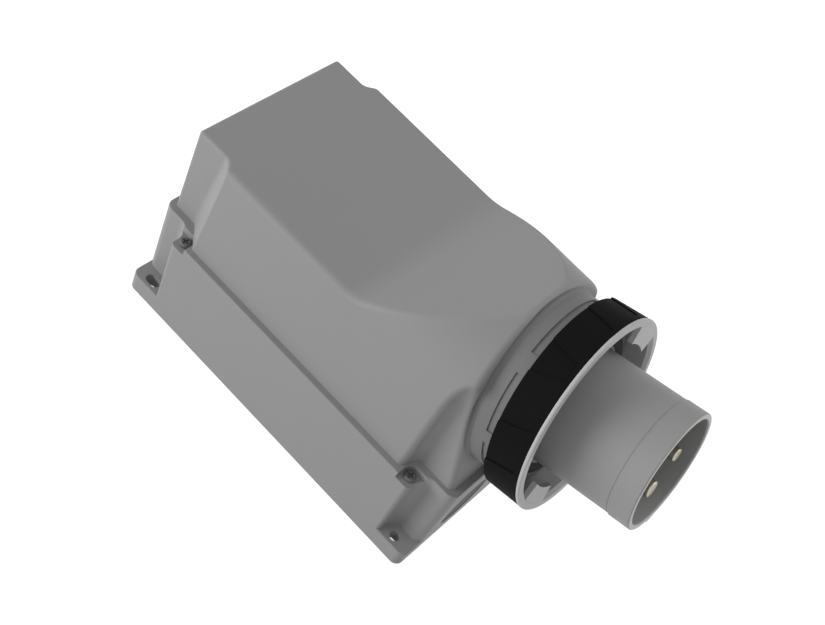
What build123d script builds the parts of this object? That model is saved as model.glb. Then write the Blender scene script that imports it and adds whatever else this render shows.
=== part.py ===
"""Industrial wall inlet, 63 A, five pins, with a tilted shroud and a bayonet locking ring.

Millimetres. The origin is the centre of the four wall screws, on the back face. X runs
along the box towards the shroud, Y across it, and Z points away from the wall.
"""
import math
import os

from build123d import *

os.makedirs("parts", exist_ok=True)

# Wall box: a drafted tray with notched corners and four mounting ears
BOX_LENGTH = 232.0
BOX_WIDTH = 136.6
BOX_DRAFT = 0.68
BOX_WALL = 3.0
BOX_FLOOR = 3.0
CORNER_R = 5.0
NOTCH_LENGTH = 21.0
NOTCH_WIDTH = 12.9
NOTCH_R = 8.0
NOTCH_SIDE_R = 2.0
SPLIT_Z = 61.2
EAR_HEIGHT = 12.7
EAR_EDGE_R = 0.8
EAR_RELIEF_DEPTH = 4.5
EAR_RELIEF_LENGTH = 13.0
EAR_RELIEF_WIDTH = 11.0

# Wall screws: round holes at the front ears, slots along X at the rear ears
WALL_HOLE_INSET_X = 12.2
WALL_HOLE_INSET_Y = 5.7
WALL_HOLE_R = 3.1
WALL_SLOT_LENGTH = 10.0
WALL_HOLE_X = BOX_LENGTH / 2 - WALL_HOLE_INSET_X
WALL_HOLE_Y = BOX_WIDTH / 2 - WALL_HOLE_INSET_Y

# Cable entries: pairs of round knock-outs in both end walls
ENTRY_R = 18.0
ENTRY_Y = 24.0
ENTRY_Z = 29.5
ENTRY_RECESS = 1.6

# Hood: drafted walls, a flat top, a sloping facet and a crown over the shroud end
HOOD_FLANGE = 8.0
HOOD_SIDE_INSET = 3.3
HOOD_SIDE_DRAFT = 2.9
HOOD_REAR_INSET = 2.9
HOOD_REAR_DRAFT = 1.58
HOOD_TOP_Z = 136.2
HOOD_WALL = 2.8
HOOD_EDGE_R = 4.0
LEDGE_EDGE_R = 0.8
CREASE_INSET = 102.0
CREASE_R = 30.0
FACET_SLOPE = 28.5
CROWN_CENTRE_DROP = 5.05
CROWN_MARGIN = 1.2
NOSE_S = -17.8
NOSE_WALL = 3.5
LEDGE_Z = SPLIT_Z + HOOD_FLANGE
HOOD_HALF_WIDTH = BOX_WIDTH / 2 - HOOD_SIDE_INSET
HOOD_REAR_X = HOOD_REAR_INSET - BOX_LENGTH / 2
CREASE_X = BOX_LENGTH / 2 - CREASE_INSET

# Hood corners: recesses that leave room for the cover screws and a driver
FRONT_POCKET_INSET_X = 31.0
FRONT_POCKET_INSET_Y = 15.1
FRONT_POCKET_R = 7.0
REAR_RECESS_INSET_X = 19.5
REAR_RECESS_INSET_Y = 16.8
REAR_RECESS_DRIFT_X = 8.0
REAR_RECESS_DRIFT_Y = 2.5
REAR_RECESS_ANGLE = 46.5
REAR_RECESS_R = 6.0
REAR_EDGE_R = 2.0
REAR_EDGE_REACH = 38.0

# Cover screws, their pockets in the hood flange and their brass inserts
COVER_SCREW_INSET_X = 25.0
COVER_SCREW_INSET_Y = 5.7
COVER_SCREW_R = 1.95
COVER_SCREW_LENGTH = 16.0
COVER_HEAD_R = 3.7
COVER_HEAD_H = 2.2
COVER_HOLE_R = 2.3
COVER_POCKET_FLOOR = 3.6
COVER_POCKET_REACH = 5.0
COVER_POCKET_R = 4.8
BOSS_REACH = 5.2
INSERT_R = 3.2
INSERT_LENGTH = 9.0
COVER_SCREW_X = BOX_LENGTH / 2 - COVER_SCREW_INSET_X
COVER_SCREW_Y = BOX_WIDTH / 2 - COVER_SCREW_INSET_Y
COVER_POCKET_Z = SPLIT_Z + COVER_POCKET_FLOOR

# Hood gasket in its groove
GASKET_MARGIN = 0.4
GASKET_WIDTH = 1.5
GASKET_HEIGHT = 1.7

# Inlet flange, turned about the inlet axis; S values are distances along that axis
FLANGE_DEPTH = 7.8
FLANGE_TUBE_WALL = 3.0
FLANGE_GASKET = 1.0
FLANGE_GASKET_INSET = 0.3
FLANGE_REACH = 9.0
SPIGOT_WALL = 2.5
SPIGOT_LENGTH = 4.0
SPIGOT_GAP = 0.3
FRONT_WALL_S = 7.0
FRONT_WALL = 3.5
FRONT_CHAMFER = 0.8
COLLAR_WALL = 1.75
COLLAR_S = 9.6
SOCKET_TUBE_WALL = 4.95
SOCKET_GAP = 1.0
FLANGE_S = NOSE_S + FLANGE_GASKET

# Shroud: a tube with a raised band at its mouth, a key and a foot behind the flange
SHROUD_R = 35.0
SHROUD_WALL = 2.4
SHROUD_GAP = 0.25
SHROUD_S = 71.84
SHROUD_FOOT = 2.5
SHROUD_FOOT_SEAT_S = -11.5
BAND_LENGTH = 16.0
BAND_STEP = 0.5
KEY_WIDTH = 7.0
KEY_HEIGHT = 2.7
KEY_LENGTH = 20.0
KEY_ANGLE = 270.0
SHROUD_BORE_R = SHROUD_R - SHROUD_WALL
SHROUD_REAR_S = SHROUD_FOOT_SEAT_S - SHROUD_FOOT
BAND_R = SHROUD_R + BAND_STEP
COLLAR_BORE_R = SHROUD_R + SHROUD_GAP
COLLAR_R = COLLAR_BORE_R + COLLAR_WALL
SOCKET_TUBE_R = COLLAR_BORE_R + SOCKET_TUBE_WALL
FLANGE_INNER_R = SOCKET_TUBE_R + SOCKET_GAP
SPIGOT_R = FLANGE_INNER_R + SPIGOT_WALL
FLANGE_R = SPIGOT_R + FLANGE_REACH

# Inlet axis: it crosses the front of the box, tilts away from the wall and lifts the flange
# clear of the hood's ledge
AXIS_TILT = 14.8
FLANGE_LIFT = 1.05
AXIS_X = BOX_LENGTH / 2
AXIS_RISE = FLANGE_R * math.cos(math.radians(AXIS_TILT)) - NOSE_S * math.sin(math.radians(AXIS_TILT))
AXIS_Z = LEDGE_Z + FLANGE_LIFT + AXIS_RISE
CROWN_CENTRE_Z = AXIS_Z - CROWN_CENTRE_DROP
CROWN_RISE = FLANGE_R + CROWN_MARGIN

# Pockets round the flange: four short ones guide the ring's tabs, two long ones are plain
POCKET_DEPTH = 0.9
POCKET_REAR_S = -8.3
POCKET_FRONT_S = 0.5
TAB_POCKET_ANGLES = (135.4, 183.6, 315.4, 3.6)
TAB_POCKET_SPAN_ANGLE = 39.1
PLAIN_POCKET_ANGLES = (58.0, 238.0)
PLAIN_POCKET_SPAN_ANGLE = 64.0

# Flange screws, driven from inside the hood
FLANGE_SCREW_INSET = 5.2
FLANGE_SCREW_R = 1.95
FLANGE_SCREW_REACH = 7.4
FLANGE_HEAD_R = 3.4
FLANGE_HEAD_H = 2.4
FLANGE_SCREW_ANGLES = (45.0, 135.0, 225.0, 315.0)
FLANGE_SCREW_PCR = FLANGE_R - FLANGE_SCREW_INSET

# Contact carrier and the retainer plate behind it
CARRIER_FACE_S = 20.0
CARRIER_GAP = 0.4
CARRIER_FLANGE = 3.0
CARRIER_SCREW_INSET = 2.5
CARRIER_SCREW_ANGLES = (90.0, 210.0, 330.0)
RETAINER_INSET = 10.2
RETAINER_THICK = 3.0
RETAINER_SCREW_INSET = 4.0
RETAINER_SCREW_ANGLES = (90.0, 234.0, 306.0)
SMALL_SCREW_R = 1.45
SMALL_HEAD_R = 2.4
SMALL_HEAD_H = 2.0
SMALL_SCREW_REACH = 9.0
CARRIER_SCREW_PCR = SOCKET_TUBE_R - CARRIER_SCREW_INSET
CARRIER_REAR_S = SHROUD_REAR_S - CARRIER_FLANGE
RETAINER_REAR_S = CARRIER_REAR_S - RETAINER_THICK
RETAINER_R = SOCKET_TUBE_R - RETAINER_INSET
RETAINER_SCREW_PCR = RETAINER_R - RETAINER_SCREW_INSET

# Pins and their terminals; a pin is a little thicker where the carrier holds it
PIN_PCR = 18.8
PHASE_PIN_R = 4.0
EARTH_PIN_R = 5.0
PILOT_PIN_R = 3.0
PIN_TIP_S = 66.5
PILOT_TIP_S = 58.0
PHASE_TIP_R = 2.2
EARTH_TIP_R = 2.75
PILOT_TIP_R = 1.65
PIN_ROOT_STEP = 0.4
PIN_ROOT_DROP = 0.1
PIN_GAP = 0.08
SHOULDER_STEP = 1.8
SHOULDER_LENGTH = 2.5
NECK_GAP = 0.3
TERMINAL_WIDTH = 12.0
PILOT_TERMINAL_WIDTH = 9.0
TERMINAL_LENGTH = 20.0
WIRE_BORE_R = 3.6
PILOT_WIRE_BORE_R = 2.0
WIRE_BORE_DEPTH = 14.0
TERMINAL_SCREW_R = 2.4
TERMINAL_SCREW_BACK = 7.0
TERMINAL_SCREW_STOP = 0.5
TERMINAL_HEAD_R = 3.7
TERMINAL_HEAD_H = 2.2
PILOT_SCREW_R = 1.5
PILOT_HEAD_R = 2.4

# Face seal round the shroud's root, with a raised lip at its rim
SEAL_GAP = 0.2
SEAL_WIDTH = 6.3
SEAL_BASE = 1.4
SEAL_THICK = 3.0
SEAL_BEAD = 2.0
SEAL_LIP = 1.2
SEAL_INNER_R = COLLAR_R + SEAL_GAP
SEAL_R = SEAL_INNER_R + SEAL_WIDTH

# Locking ring: sleeve with a rim, two lugs and four guide tabs
RING_GAP = 0.35
RING_WALL = 3.75
RING_REAR_S = -1.8
RIM_REAR_S = 18.9
RIM_FRONT_S = 21.1
RIM_STEP = 2.4
RIM_EDGE_R = 0.8
RIM_INNER_CHAMFER = 2.0
LUG_REACH = 8.55
LUG_THICK = 3.0
LUG_SPAN_ANGLE = 32.0
LUG_ANGLES = (28.5, 211.5)
TAB_SPAN_ANGLE = 9.0
TAB_START_ANGLE = 0.6
TAB_DEPTH = 0.6
TAB_FRONT_GAP = 0.3
RING_BORE_R = FLANGE_R + RING_GAP
RING_SLEEVE_R = RING_BORE_R + RING_WALL
RIM_R = RING_SLEEVE_R + RIM_STEP

# Grip sleeve on the ring, with stepped facets mirrored about two grip centres
GRIP_REAR_S = -2.2
GRIP_REAR_WALL = 1.4
GRIP_FRONT_WALL = 2.2
GRIP_CENTRE_ANGLES = (121.0, 301.0)
GRIP_OFFSET_ANGLES = (9.8, 38.9, 65.7)
GRIP_SLANT_ANGLE = 4.5
GRIP_DEPTH = 0.8
GRIP_END_S = 16.3
GRIP_CORNER_R = 2.2
GRIP_REAR_R = RING_SLEEVE_R + GRIP_REAR_WALL
GRIP_FRONT_R = RING_SLEEVE_R + GRIP_FRONT_WALL

# Screws: gap in a threaded hole, gap in a clear hole, room below the end, and the head's form
SCREW_FIT = 0.05
HOLE_GAP = 0.25
SCREW_END_GAP = 1.0
SCREW_POINT = 0.4
HEAD_SIDE_RATIO = 0.6
HEAD_TOP_RATIO = 0.7
DRIVE_WIDTH = 1.1
DRIVE_LENGTH = 4.2
DRIVE_RATIO = 1.3
DRIVE_DEPTH = 1.2

# How far cutters pass the faces they cut, and how far a point may lie from where it belongs
OVERSHOOT = 20.0
CUT = 1.0
NEAR = 0.01

# Faces that turn by more than this at their shared edge have a sharp edge there
SHARP_ANGLE = 8.0

INLET = Plane(
    origin=(AXIS_X, 0, AXIS_Z),
    x_dir=(0, 1, 0),
    z_dir=(math.cos(math.radians(AXIS_TILT)), 0, math.sin(math.radians(AXIS_TILT))),
)


def tan_deg(angle):
    """Tangent of an angle in degrees."""
    return math.tan(math.radians(angle))


def cos_deg(angle):
    """Cosine of an angle in degrees."""
    return math.cos(math.radians(angle))


def sin_deg(angle):
    """Sine of an angle in degrees."""
    return math.sin(math.radians(angle))


def polar(radius, angle, height=0.0):
    """Location at a radius and an angle round the Z axis."""
    return Pos(radius * cos_deg(angle), radius * sin_deg(angle), height)


def cylinder(radius, low, high):
    """Upright cylinder between two heights on the Z axis."""
    return Pos(0, 0, low) * Cylinder(radius, high - low, align=(Align.CENTER, Align.CENTER, Align.MIN))


def tube(outer, inner, low, high):
    """Upright tube between two heights on the Z axis."""
    return cylinder(outer, low, high) - cylinder(inner, low - OVERSHOOT, high + OVERSHOOT)


def block(x0, x1, y0, y1, z0, z1):
    """Box between two corners."""
    return Pos(x0, y0, z0) * Box(x1 - x0, y1 - y0, z1 - z0, align=(Align.MIN, Align.MIN, Align.MIN))


def turned(points):
    """Body turned about Z from (height, radius) points."""
    outline = make_face(Polyline(*[(radius, 0, height) for height, radius in points], close=True))
    return revolve(outline, axis=Axis.Z)


def sector(outer, inner, start, span, low, high):
    """Part of a tube between two angles, for spans below 180 degrees."""
    reach = 2 * outer / cos_deg(span / 2)
    wedge = make_face(
        Polyline(
            (0, 0),
            (reach * cos_deg(start), reach * sin_deg(start)),
            (reach * cos_deg(start + span), reach * sin_deg(start + span)),
            close=True,
        )
    )
    return tube(outer, inner, low, high) & extrude(Pos(0, 0, low) * wedge, high - low)


def on_inlet(shape):
    """Shape built about Z, moved onto the tilted inlet axis."""
    return INLET.location * shape


def four_corners(x, y):
    """The four places mirrored about both centre planes."""
    return [(sx * x, sy * y) for sx in (-1, 1) for sy in (-1, 1)]


def joined(shapes):
    """All shapes together, touching or not."""
    total = shapes[0]
    for shape in shapes[1:]:
        total = total + shape
    return total


def slab(low, high):
    """Block wider than the whole part, between two heights."""
    return block(-BOX_LENGTH, BOX_LENGTH, -BOX_WIDTH, BOX_WIDTH, low, high)


def faces_meet_at_angle(shape, edge):
    """Whether the two faces at an edge turn by more than a few degrees there."""
    middle = edge.position_at(0.5)
    normals = [face.normal_at(middle) for face in shape.faces() if face.distance_to(middle) < NEAR]
    return len(normals) == 2 and normals[0].get_angle(normals[1]) > SHARP_ANGLE


def write(name, shape):
    """Save one sub-part under its own name."""
    export_step(shape, os.path.join("parts", name + ".step"))


# Wall box


def box_outline(notched=True):
    """Plan of the box at the wall, with or without its notched corners."""
    outline = Rectangle(BOX_LENGTH, BOX_WIDTH)
    if not notched:
        return fillet(outline.vertices(), CORNER_R)
    notch = Rectangle(2 * NOTCH_LENGTH, 2 * NOTCH_WIDTH)
    for x, y in four_corners(BOX_LENGTH / 2, BOX_WIDTH / 2):
        outline -= Pos(x, y) * notch
    end = [v for v in outline.vertices() if abs(v.X) > BOX_LENGTH / 2 - NEAR]
    outline = fillet(end, CORNER_R)
    side = [v for v in outline.vertices() if abs(v.Y) > BOX_WIDTH / 2 - NEAR]
    outline = fillet(side, NOTCH_SIDE_R)
    inner = [
        v
        for v in outline.vertices()
        if abs(abs(v.X) - (BOX_LENGTH / 2 - NOTCH_LENGTH)) < NEAR
        and abs(abs(v.Y) - (BOX_WIDTH / 2 - NOTCH_WIDTH)) < NEAR
    ]
    return fillet(inner, NOTCH_R)


def cavity_outline():
    """Plan of the box's inside, which steps round the cover screw bosses."""
    outline = offset(box_outline(), -BOX_WALL)
    for x, y in four_corners(COVER_SCREW_X, COVER_SCREW_Y):
        boss = Rectangle(BOSS_REACH + OVERSHOOT, BOSS_REACH + OVERSHOOT)
        shift_x = math.copysign((OVERSHOOT - BOSS_REACH) / 2, x)
        shift_y = math.copysign((OVERSHOOT - BOSS_REACH) / 2, y)
        outline -= Pos(x + shift_x, y + shift_y) * boss
    return outline


def drafted(outline, height):
    """Outline raised from the wall with the box's draft."""
    return extrude(outline, height, taper=-BOX_DRAFT)


def entry_recess(x_face):
    """Cutter for the pair of knock-outs in an end wall."""
    outward = math.copysign(1, x_face)
    depth = ENTRY_RECESS + OVERSHOOT
    centre = x_face + outward * (OVERSHOOT - ENTRY_RECESS) / 2
    disc = Rot(0, 90, 0) * Cylinder(ENTRY_R, depth)
    return joined([Pos(centre, y, ENTRY_Z) * disc for y in (-ENTRY_Y, ENTRY_Y)])


def wall_hole_cutters():
    """Wall screw holes, slots at the rear, each with a relief below."""
    cutters = []
    relief = SlotOverall(EAR_RELIEF_LENGTH, EAR_RELIEF_WIDTH)
    for x, y in four_corners(WALL_HOLE_X, WALL_HOLE_Y):
        hole = Circle(WALL_HOLE_R) if x > 0 else SlotOverall(WALL_SLOT_LENGTH, 2 * WALL_HOLE_R)
        cutters.append(Pos(x, y, -CUT) * extrude(hole, EAR_HEIGHT + 2 * CUT))
        cutters.append(Pos(x, y, -CUT) * extrude(relief, EAR_RELIEF_DEPTH + CUT))
    return joined(cutters)


def ear_plate():
    """The four ears as one plate under the box, with softened top edges."""
    plate = drafted(box_outline(notched=False), EAR_HEIGHT)
    return fillet(plate.edges().group_by(Axis.Z)[-1], EAR_EDGE_R)


def wall_box():
    """Tray with ears, bosses, inserts' holes and knock-outs."""
    body = drafted(box_outline(), SPLIT_Z) + ear_plate()
    body -= Pos(0, 0, BOX_FLOOR) * extrude(cavity_outline(), SPLIT_Z)
    body -= wall_hole_cutters()
    end_lean = ENTRY_Z * tan_deg(BOX_DRAFT)
    for side in (-1, 1):
        body -= entry_recess(side * (BOX_LENGTH / 2 + end_lean))
    for x, y in four_corners(COVER_SCREW_X, COVER_SCREW_Y):
        body -= Pos(x, y) * cylinder(INSERT_R + SCREW_FIT, SPLIT_Z - INSERT_LENGTH, SPLIT_Z + CUT)
        screw_end = COVER_POCKET_Z - COVER_SCREW_LENGTH - SCREW_END_GAP
        body -= Pos(x, y) * cylinder(COVER_SCREW_R + SCREW_FIT, screw_end, SPLIT_Z)
    return body


def screw_inserts():
    """Brass inserts that the cover screws run in."""
    one = tube(INSERT_R, COVER_SCREW_R + SCREW_FIT, SPLIT_Z - INSERT_LENGTH, SPLIT_Z)
    return joined([Pos(x, y) * one for x, y in four_corners(COVER_SCREW_X, COVER_SCREW_Y)])


def gasket_band(extra=0.0):
    """Plan of the hood gasket, or of its groove with a little extra."""
    cavity = cavity_outline()
    outer = offset(cavity, GASKET_MARGIN + GASKET_WIDTH + extra)
    return outer - offset(cavity, GASKET_MARGIN - extra)


def hood_gasket():
    """Flat gasket on the box's rim."""
    return Pos(0, 0, SPLIT_Z) * extrude(gasket_band(), GASKET_HEIGHT)


# Hood


def nose_x(z, s):
    """X on the plane square to the inlet axis at distance s, at height z."""
    rise = (z - AXIS_Z - s * sin_deg(AXIS_TILT)) / cos_deg(AXIS_TILT)
    return AXIS_X + s * cos_deg(AXIS_TILT) - rise * sin_deg(AXIS_TILT)


def side_profile(inset, low):
    """Hood seen from the side: rear wall, flat top, soft crease, rising facet and nose plane."""
    rear_slope = tan_deg(HOOD_REAR_DRAFT)
    top = HOOD_TOP_Z - inset
    slope = tan_deg(FACET_SLOPE)
    crease = CREASE_X + (inset / cos_deg(FACET_SLOPE) - inset) / slope
    nose_s = NOSE_S - (NOSE_WALL if inset else 0)
    nose_slope = tan_deg(AXIS_TILT)
    nose_top_x = nose_x(top, nose_s)
    facet_end = (nose_top_x + nose_slope * slope * crease) / (1 + nose_slope * slope)
    points = [
        (HOOD_REAR_X + inset + (low - LEDGE_Z) * rear_slope, low),
        (HOOD_REAR_X + inset + (top - LEDGE_Z) * rear_slope, top),
        (crease, top),
        (facet_end, top + (facet_end - crease) * slope),
        (nose_x(low, nose_s), low),
    ]
    face = make_face(Polyline(*points, close=True))
    bend = face.vertices().sort_by(lambda v: abs(v.X - crease) + abs(v.Y - top))[0]
    return Plane.XZ * fillet(bend, CREASE_R + inset)


def cross_profile(inset, low):
    """Hood seen along X: drafted walls that run into the crown's ellipse."""
    lean = tan_deg(HOOD_SIDE_DRAFT)
    rise = CROWN_RISE - inset
    half = HOOD_HALF_WIDTH - inset - (CROWN_CENTRE_Z - LEDGE_Z) * lean
    crown_half = math.sqrt(half**2 - (lean * rise) ** 2)
    start = math.degrees(math.atan2(lean * rise, crown_half))
    centre = (0, CROWN_CENTRE_Z)
    arc = EllipticalCenterArc(centre, crown_half, rise, start_angle=start, arc_size=180 - 2 * start)
    foot = HOOD_HALF_WIDTH - inset - (low - LEDGE_Z) * lean
    right = Line((foot, low), arc @ 0)
    left = Line(arc @ 1, (-foot, low))
    return Plane.YZ * make_face([right, arc, left, Line((-foot, low), (foot, low))])


def corner_block(x, y, low, high, radius):
    """Upright block from a corner at x and y outwards, with that corner rounded."""
    shape = block(x, x + 3 * OVERSHOOT, y, y + 3 * OVERSHOOT, low, high)
    edge = shape.edges().filter_by(Axis.Z).sort_by(lambda e: e.center().X + e.center().Y)[0]
    return fillet(edge, radius)


def front_pockets(grow, low):
    """Cutter for the two front corners of the hood."""
    x = BOX_LENGTH / 2 - FRONT_POCKET_INSET_X - grow
    y = BOX_WIDTH / 2 - FRONT_POCKET_INSET_Y - grow
    pocket = corner_block(x, y, low, HOOD_TOP_Z + 2 * OVERSHOOT, FRONT_POCKET_R + grow)
    return pocket + mirror(pocket, Plane.XZ)


def rear_recess_outline(height, grow):
    """Plan of a rear corner recess at some height: a long wall, a bend and a slanted wall."""
    share = (height - LEDGE_Z) / (HOOD_TOP_Z - LEDGE_Z)
    wall_y = BOX_WIDTH / 2 - REAR_RECESS_INSET_Y + share * REAR_RECESS_DRIFT_Y - grow
    bend_x = REAR_RECESS_INSET_X - BOX_LENGTH / 2 + share * REAR_RECESS_DRIFT_X
    bend_x += grow * tan_deg(REAR_RECESS_ANGLE / 2)
    outer_y = BOX_WIDTH / 2 + OVERSHOOT
    outer_x = bend_x + (outer_y - wall_y) / tan_deg(REAR_RECESS_ANGLE)
    points = [
        (-BOX_LENGTH / 2 - OVERSHOOT, wall_y),
        (bend_x, wall_y),
        (outer_x, outer_y),
        (-BOX_LENGTH / 2 - OVERSHOOT, outer_y),
    ]
    face = make_face(Polyline(*points, close=True))
    bend = face.vertices().sort_by(lambda v: abs(v.X - bend_x) + abs(v.Y - wall_y))[0]
    return Pos(0, 0, height) * fillet(bend, REAR_RECESS_R + grow)


def rear_recesses(grow, low):
    """Cutter for the two rear corners of the hood."""
    heights = (low, HOOD_TOP_Z + CUT)
    recess = loft([rear_recess_outline(height, grow) for height in heights], ruled=True)
    return recess + mirror(recess, Plane.XZ)


def hood_form(inset, low):
    """Solid shape of the hood, inset by a wall thickness for its inside."""
    side = extrude(side_profile(inset, low), BOX_WIDTH / 2, both=True)
    cross = extrude(cross_profile(inset, low), BOX_LENGTH, both=True)
    return (side & cross) - front_pockets(inset, low) - rear_recesses(inset, low)


def raised_sharp_edges(form):
    """Edges above the ledge where two faces of the hood meet at an angle."""
    raised = [edge for edge in form.edges() if edge.center().Z > LEDGE_Z + CUT]
    return [edge for edge in raised if faces_meet_at_angle(form, edge)]


def rounded_hood_form():
    """Outside of the hood: wide roundings at nose, crown and roof, narrow ones round the rear."""
    rear_limit = HOOD_REAR_X + REAR_EDGE_REACH
    form = hood_form(0.0, LEDGE_Z)
    wide = [edge for edge in raised_sharp_edges(form) if edge.center().X > rear_limit]
    form = fillet(wide, HOOD_EDGE_R)
    narrow = [edge for edge in raised_sharp_edges(form) if edge.center().X < rear_limit]
    return fillet(narrow, REAR_EDGE_R)


def cover_pocket(x, y):
    """Cutter for a cover screw's pocket, open at the flange's corner."""
    inner_x = abs(x) - COVER_POCKET_REACH
    inner_y = abs(y) - COVER_POCKET_REACH
    pocket = corner_block(inner_x, inner_y, COVER_POCKET_Z, LEDGE_Z, COVER_POCKET_R)
    if x < 0:
        pocket = mirror(pocket, Plane.YZ)
    if y < 0:
        pocket = mirror(pocket, Plane.XZ)
    return pocket


def hood_ledge():
    """Flange of the hood on the box's rim, with a softened top edge and the screw pockets."""
    ledge = fillet(drafted(box_outline(), LEDGE_Z).edges().group_by(Axis.Z)[-1], LEDGE_EDGE_R)
    ledge &= slab(SPLIT_Z, LEDGE_Z)
    for x, y in four_corners(COVER_SCREW_X, COVER_SCREW_Y):
        ledge -= cover_pocket(x, y)
    return ledge


def hood():
    """Hood shell with its flange, screw pockets, gasket groove and nose opening."""
    body = rounded_hood_form() + hood_ledge()
    body -= hood_form(HOOD_WALL, SPLIT_Z - CUT)
    for x, y in four_corners(COVER_SCREW_X, COVER_SCREW_Y):
        body -= Pos(x, y) * cylinder(COVER_HOLE_R, SPLIT_Z - CUT, LEDGE_Z)
    body -= Pos(0, 0, SPLIT_Z - CUT) * extrude(gasket_band(SCREW_FIT), GASKET_HEIGHT + CUT)
    opening = cylinder(SPIGOT_R + SPIGOT_GAP, NOSE_S - OVERSHOOT, NOSE_S + OVERSHOOT)
    hole = cylinder(FLANGE_SCREW_R + HOLE_GAP, NOSE_S - OVERSHOOT, NOSE_S + OVERSHOOT)
    holes = [polar(FLANGE_SCREW_PCR, angle) * hole for angle in FLANGE_SCREW_ANGLES]
    return body - on_inlet(opening) - on_inlet(joined(holes))


# Screws


def pan_screw(radius, reach, head_r, head_h):
    """Pan-head screw seated at height zero, with its shank below and a cross recess."""
    points = [
        (-reach, 0),
        (-reach, radius - SCREW_POINT),
        (SCREW_POINT - reach, radius),
        (0, radius),
        (0, head_r),
        (head_h * HEAD_SIDE_RATIO, head_r),
        (head_h, head_r * HEAD_TOP_RATIO),
        (head_h, 0),
    ]
    screw = turned(points)
    half = min(DRIVE_LENGTH, DRIVE_RATIO * head_r) / 2
    slot = block(-half, half, -DRIVE_WIDTH / 2, DRIVE_WIDTH / 2, head_h - DRIVE_DEPTH, head_h + CUT)
    for turn in (0, 90):
        screw -= Rot(0, 0, turn) * slot
    return screw


def hood_screws():
    """Four cover screws in the flange pockets."""
    one = pan_screw(COVER_SCREW_R, COVER_SCREW_LENGTH, COVER_HEAD_R, COVER_HEAD_H)
    return joined([Pos(x, y, COVER_POCKET_Z) * one for x, y in four_corners(COVER_SCREW_X, COVER_SCREW_Y)])


def ring_of_screws(screw, radius, angles, seat):
    """Screws round the inlet axis, with their heads on the rear side."""
    turned_over = Rot(180, 0, 0) * screw
    return on_inlet(joined([polar(radius, angle, seat) * turned_over for angle in angles]))


def flange_screws():
    """Screws from inside the hood into the inlet flange."""
    reach = NOSE_WALL + FLANGE_GASKET + FLANGE_SCREW_REACH - SCREW_END_GAP
    one = pan_screw(FLANGE_SCREW_R, reach, FLANGE_HEAD_R, FLANGE_HEAD_H)
    return ring_of_screws(one, FLANGE_SCREW_PCR, FLANGE_SCREW_ANGLES, NOSE_S - NOSE_WALL)


def carrier_screws():
    """Screws through the carrier and the shroud's foot into the inlet flange."""
    reach = CARRIER_FLANGE + SHROUD_FOOT + SMALL_SCREW_REACH - SCREW_END_GAP
    one = pan_screw(SMALL_SCREW_R, reach, SMALL_HEAD_R, SMALL_HEAD_H)
    return ring_of_screws(one, CARRIER_SCREW_PCR, CARRIER_SCREW_ANGLES, CARRIER_REAR_S)


def retainer_screws():
    """Screws that hold the retainer plate to the carrier."""
    reach = RETAINER_THICK + SMALL_SCREW_REACH - SCREW_END_GAP
    one = pan_screw(SMALL_SCREW_R, reach, SMALL_HEAD_R, SMALL_HEAD_H)
    return ring_of_screws(one, RETAINER_SCREW_PCR, RETAINER_SCREW_ANGLES, RETAINER_REAR_S)


# Inlet flange, shroud and their seals


def inlet_flange():
    """Flange, pocketed guide tube, front wall, collar and socket tube in one moulding."""
    tube_inner = FLANGE_R - FLANGE_TUBE_WALL
    flange_front = FLANGE_S + FLANGE_DEPTH
    body = turned(
        [
            (FLANGE_S - SPIGOT_LENGTH, FLANGE_INNER_R),
            (FLANGE_S - SPIGOT_LENGTH, SPIGOT_R),
            (FLANGE_S, SPIGOT_R),
            (FLANGE_S, FLANGE_R),
            (FRONT_WALL_S - FRONT_CHAMFER, FLANGE_R),
            (FRONT_WALL_S, FLANGE_R - FRONT_CHAMFER),
            (FRONT_WALL_S, COLLAR_R),
            (COLLAR_S, COLLAR_R),
            (COLLAR_S, COLLAR_BORE_R),
            (SHROUD_FOOT_SEAT_S, COLLAR_BORE_R),
            (SHROUD_FOOT_SEAT_S, SOCKET_TUBE_R),
            (FRONT_WALL_S - FRONT_WALL, SOCKET_TUBE_R),
            (FRONT_WALL_S - FRONT_WALL, tube_inner),
            (flange_front, tube_inner),
            (flange_front, FLANGE_INNER_R),
        ]
    )
    pockets = [(start, TAB_POCKET_SPAN_ANGLE) for start in TAB_POCKET_ANGLES]
    pockets += [(start, PLAIN_POCKET_SPAN_ANGLE) for start in PLAIN_POCKET_ANGLES]
    for start, span in pockets:
        body -= sector(FLANGE_R + CUT, FLANGE_R - POCKET_DEPTH, start, span, POCKET_REAR_S, POCKET_FRONT_S)
    pilot = cylinder(FLANGE_SCREW_R + SCREW_FIT, FLANGE_S - CUT, FLANGE_S + FLANGE_SCREW_REACH)
    for angle in FLANGE_SCREW_ANGLES:
        body -= polar(FLANGE_SCREW_PCR, angle) * pilot
    seat = SHROUD_FOOT_SEAT_S
    small = cylinder(SMALL_SCREW_R + SCREW_FIT, seat - CUT, seat + SMALL_SCREW_REACH)
    for angle in CARRIER_SCREW_ANGLES:
        body -= polar(CARRIER_SCREW_PCR, angle) * small
    return on_inlet(body)


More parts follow.
